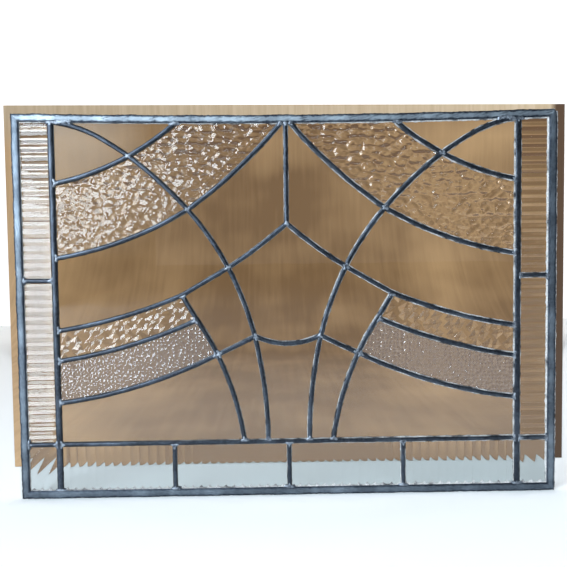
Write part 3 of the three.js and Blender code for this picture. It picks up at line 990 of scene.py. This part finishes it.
# %% [markdown]
# ## The room
# Behind the panel hangs a sand-coloured cloth on a white wall. It comes down to the floor, runs forward
# and stops a hand's width behind the panel. Only a strip of it shows round the panel. A wider cloth just
# in front of it is seen only through glass, so that the steepest slopes have something to bend as well.
# That one is painted in soft clouds, darker in the middle, because a backdrop of one even colour would
# leave the pressed patterns with nothing to show. Its darker middle, paler sides and darker foot, far
# ends and upper band are painted shade and light, laid as they would fall on a board close behind the
# panel. The paint of the room widens away from the panel as a fan. The fan's tip is the camera's place
# seen from above, written as plain numbers, so the paint is made for that one view, and stays where it
# is when another view moves the camera. The panel's own finishes use nothing of it.

# %% Cloth, floor and wall paint
FAN_TIP = (-0.015, -0.771)
HALF_ACROSS, MIDDLE_UP, HALF_UP = 0.35, 0.36, 0.55
SHADOW_FROM, SHADOW_FULL = 0.70, 0.88


def rim_cloth_finish():
    """Paint of the cloth round the panel: sand at the left, paler at the top as painted light, where the
    cloth is lit above the panel, with upright slubs, and a deep painted shade past the right end, where
    the panel keeps the light off it."""
    shader = Shader("cloth")
    slub = shader.noise(14.0, detail=2.0, place=shader.place((1, 16, 16))).step(0.3, 0.7)
    side = shader.mix(slub, tint(190, 158, 120), tint(206, 174, 134))
    # The top colours are paler: painted light where the cloth is lit above the panel.
    top = shader.mix(slub, tint(190, 168, 138), tint(206, 186, 158))
    colour = shader.mix(shader.axis(2).step(0.66, 0.78), side, top)
    # Painted shade past the right end of the panel.
    shaded = shader.fan(FAN_TIP).step(0.424, 0.434)
    return shader.finish({"Base Color": shader.mix(shaded, colour, tint(86, 64, 46)), "Roughness": 0.95})


def cloth_finish():
    """Paint of the cloth behind the glass, in painted light and shade. Its share of pale is the square of
    the distance from the cloth's middle, in half widths and half heights, so the middle is a painted shade
    and the sides painted light; clouds and upright slubs are added. It falls again at the far left and
    right, and at the foot, as painted shade. Above a height the cloth carries a painted shadow."""
    shader = Shader("cloth_through")
    fan = shader.fan(FAN_TIP)
    # Painted light and shade: paler away from the middle, darker in it.
    across = fan * (1 / HALF_ACROSS)
    height = shader.axis(2) - MIDDLE_UP
    up = height.math("MAXIMUM", height, 0.0) * (1 / HALF_UP)
    slub = shader.noise(14.0, detail=2.0, place=shader.place((1, 16, 16)))
    cloud = shader.noise(240.0, detail=2.0)
    share = across * across + up * up + (cloud - 0.5) * 1.7 + (slub - 0.5) * 0.5
    # Painted shade at the far left and right, then at the foot.
    share = share - fan.step(-0.33, -0.36) - fan.step(0.26, 0.40) * 1.3
    share = share - shader.axis(1).step(0.30, 0.15) * 0.35
    colour = shader.mix(share.step(-0.1, 1.1), tint(124, 93, 58), tint(186, 150, 106))
    # Painted shadow above a height, as under the top border.
    colour = shader.mix(shader.axis(2).step(SHADOW_FROM, SHADOW_FULL), colour, tint(102, 70, 38))
    return shader.finish({"Base Color": colour, "Roughness": 0.95})


def floor_finish():
    """White round the panel, with a painted shadow just behind it, where it stands in its own light, that
    grows darker towards the right, and a painted shade from half a metre in front of it."""
    shader = Shader("floor")
    fan = shader.fan(FAN_TIP)
    # Painted shadow of the panel just behind it, darker towards the right.
    shaded = shader.axis(1).step(0.0, 0.004) * fan.step(-0.400, -0.394) * fan.step(0.428, 0.422)
    shade = shader.mix(fan.step(-0.42, 0.30), tint(194, 204, 208), tint(168, 180, 184))
    # Painted shade from half a metre in front of the panel.
    colour = shader.mix(shader.axis(1).step(-0.3, -1.1), tint(246, 249, 251), tint(80, 84, 90))
    return shader.finish({"Base Color": shader.mix(shaded, colour, shade), "Roughness": 0.9})


def wall_finish():
    """A lit white wall."""
    surface = {"Base Color": tint(218, 219, 220), "Roughness": 0.9}
    return Shader("wall").finish({**surface, "Emission Color": (1, 1, 1, 1), "Emission Strength": 0.6})


CLOTH, CLOTH_THROUGH = rim_cloth_finish(), cloth_finish()
print("room finishes:", CLOTH.name, CLOTH_THROUGH.name)

# %% [markdown]
# Each cloth is one sheet, bent round where the wall meets the floor. The one that shows has its sides on
# two rays from the fan's tip, so that an even strip of it shows left and right of the panel.

# %% Cloth, floor and wall
def stage_surface(name, x, y, z, material):
    """A grid of stage points, in metres, from arrays that broadcast to one shape."""
    points = np.stack(np.broadcast_arrays(x, y, z), axis=-1)
    mesh = bpy.data.meshes.new(name)
    mesh.from_pydata(points.reshape(-1, 3).tolist(), [], grid_quads(*points.shape[:2]).tolist())
    mesh.shade_smooth()
    mesh.materials.append(material)
    thing = bpy.data.objects.new(name, mesh)
    bpy.context.scene.collection.objects.link(thing)
    return thing


FLOOR_EDGE = 0.117
CLOTH_WALL, COVE = 1.6, 0.6
CLOTH_TOP, BEHIND_TOP = (0.825, 0.812), (1.9, 1.9)
CLOTH_SIDES = np.array([[-0.3285, 0.3296]])


def sweep(name, sides, top, lift, material):
    """A sheet from the floor behind the panel up the wall, lifted off both. Sides give the two x of each
    row, and top the height of its two upper corners."""
    bend = np.linspace(0, np.pi / 2, 13)
    y = np.concatenate([[FLOOR_EDGE], CLOTH_WALL - COVE + COVE * np.sin(bend), [CLOTH_WALL]])[:, None]
    z = np.concatenate([[[0, 0]], (COVE - COVE * np.cos(bend))[:, None] * [1, 1], [top]])
    return stage_surface(name, sides(y), y - lift, z + lift, material)


def fan_sides(y):
    """Sides on two rays from the fan's tip, past the two ends of the panel."""
    return FAN_TIP[0] + (CLOTH_SIDES - FAN_TIP[0]) * (y - FAN_TIP[1]) / -FAN_TIP[1]


def wide_sides(y):
    """The same wide sides in every row."""
    return 2.6 * np.array([[-1.0, 1.0]]) + 0 * y


shown = sweep("cloth", fan_sides, CLOTH_TOP, 0.0005, CLOTH)
shown.visible_transmission = False
behind = sweep("cloth_through", wide_sides, BEHIND_TOP, 0.001, CLOTH_THROUGH)
behind.visible_camera = behind.visible_diffuse = behind.visible_shadow = False

room = np.array([[-5.0, 5.0]])
stage_surface("floor", room, np.array([[-14.0], [2.2]]), 0.0, floor_finish())
stage_surface("wall", room, 1.9, np.array([[0.0], [3.0]]), wall_finish())
print("cloth", CLOTH_TOP, "m high at its ends, floor edge", FLOOR_EDGE, "m behind the panel")

# %% [markdown]
# ## Light
# Glass and lead show only what they mirror and bend, so each light is a large soft rectangle put where
# its reflection is wanted. A tall window in the left wall reaches far enough forward that the reeds on
# the left mirror it. A weaker sky beside it lays a blue veil on the clear panes at that end. A soft
# light from the front and above draws the line along each strip of lead. Three more light the wall and
# the cloth.

# %% Lights
def softbox(name, place, aim, size, radiance, colour=(1, 1, 1)):
    """A rectangular soft light at a place, turned to face a point. Its power is its radiance times its
    area times pi, so that its size doesn't change how bright it is in a reflection."""
    light = bpy.data.lights.new(name, "AREA")
    light.shape, light.size, light.size_y = "RECTANGLE", *size
    light.energy, light.color = radiance * size[0] * size[1] * math.pi, colour
    thing = bpy.data.objects.new(name, light)
    thing.location = place
    thing.rotation_euler = (Vector(aim) - Vector(place)).to_track_quat("-Z", "Y").to_euler()
    thing.visible_camera = False
    bpy.context.scene.collection.objects.link(thing)


DAYLIGHT = (0.84, 0.93, 1.0)
softbox("window", (-1.25, -1.95, 1.02), (0, -1.95, 1.02), (1.9, 1.9), 14.5, DAYLIGHT)
softbox("front", (-0.5, -2.2, 1.9), (0, 0, 0.3), (1.6, 0.5), 2.5, DAYLIGHT)
softbox("wall_left", (-2.3, 0.7, 1.4), (-0.3, 1.9, 0.7), (0.8, 1.4), 5)
softbox("wall_right", (2.3, 0.7, 1.4), (0.3, 1.9, 0.7), (0.8, 1.4), 5)
softbox("over_cloth", (0.2, 0.75, 2.1), (0.2, 0.8, 0), (1.8, 0.6), 2.0)


def sky_finish():
    """Light that fades along the wall, from nothing in the depth of the room to full at the window."""
    shader = Shader("sky")
    glow = shader.axis(1).step(-6.0, -2.9) * shader.axis(2).step(0.25, 1.0)
    colour = shader.mix(glow, (0, 0, 0, 1), (0.62, 0.84, 1.0, 1))
    return shader.finish({"Base Color": (0, 0, 0, 1), "Emission Color": colour, "Emission Strength": 2.4})


sky = stage_surface("sky", -1.25, np.array([[-6.0], [-2.9]]), np.array([[-0.5, 3.5]]), sky_finish())
sky.visible_camera = False

world = bpy.data.worlds.new("studio")
bpy.context.scene.world = world
world.use_nodes = True
background = world.node_tree.nodes["Background"].inputs
background["Color"].default_value = tint(214, 222, 230)
background["Strength"].default_value = 0.25
bpy.context.scene.view_settings.view_transform = "Standard"
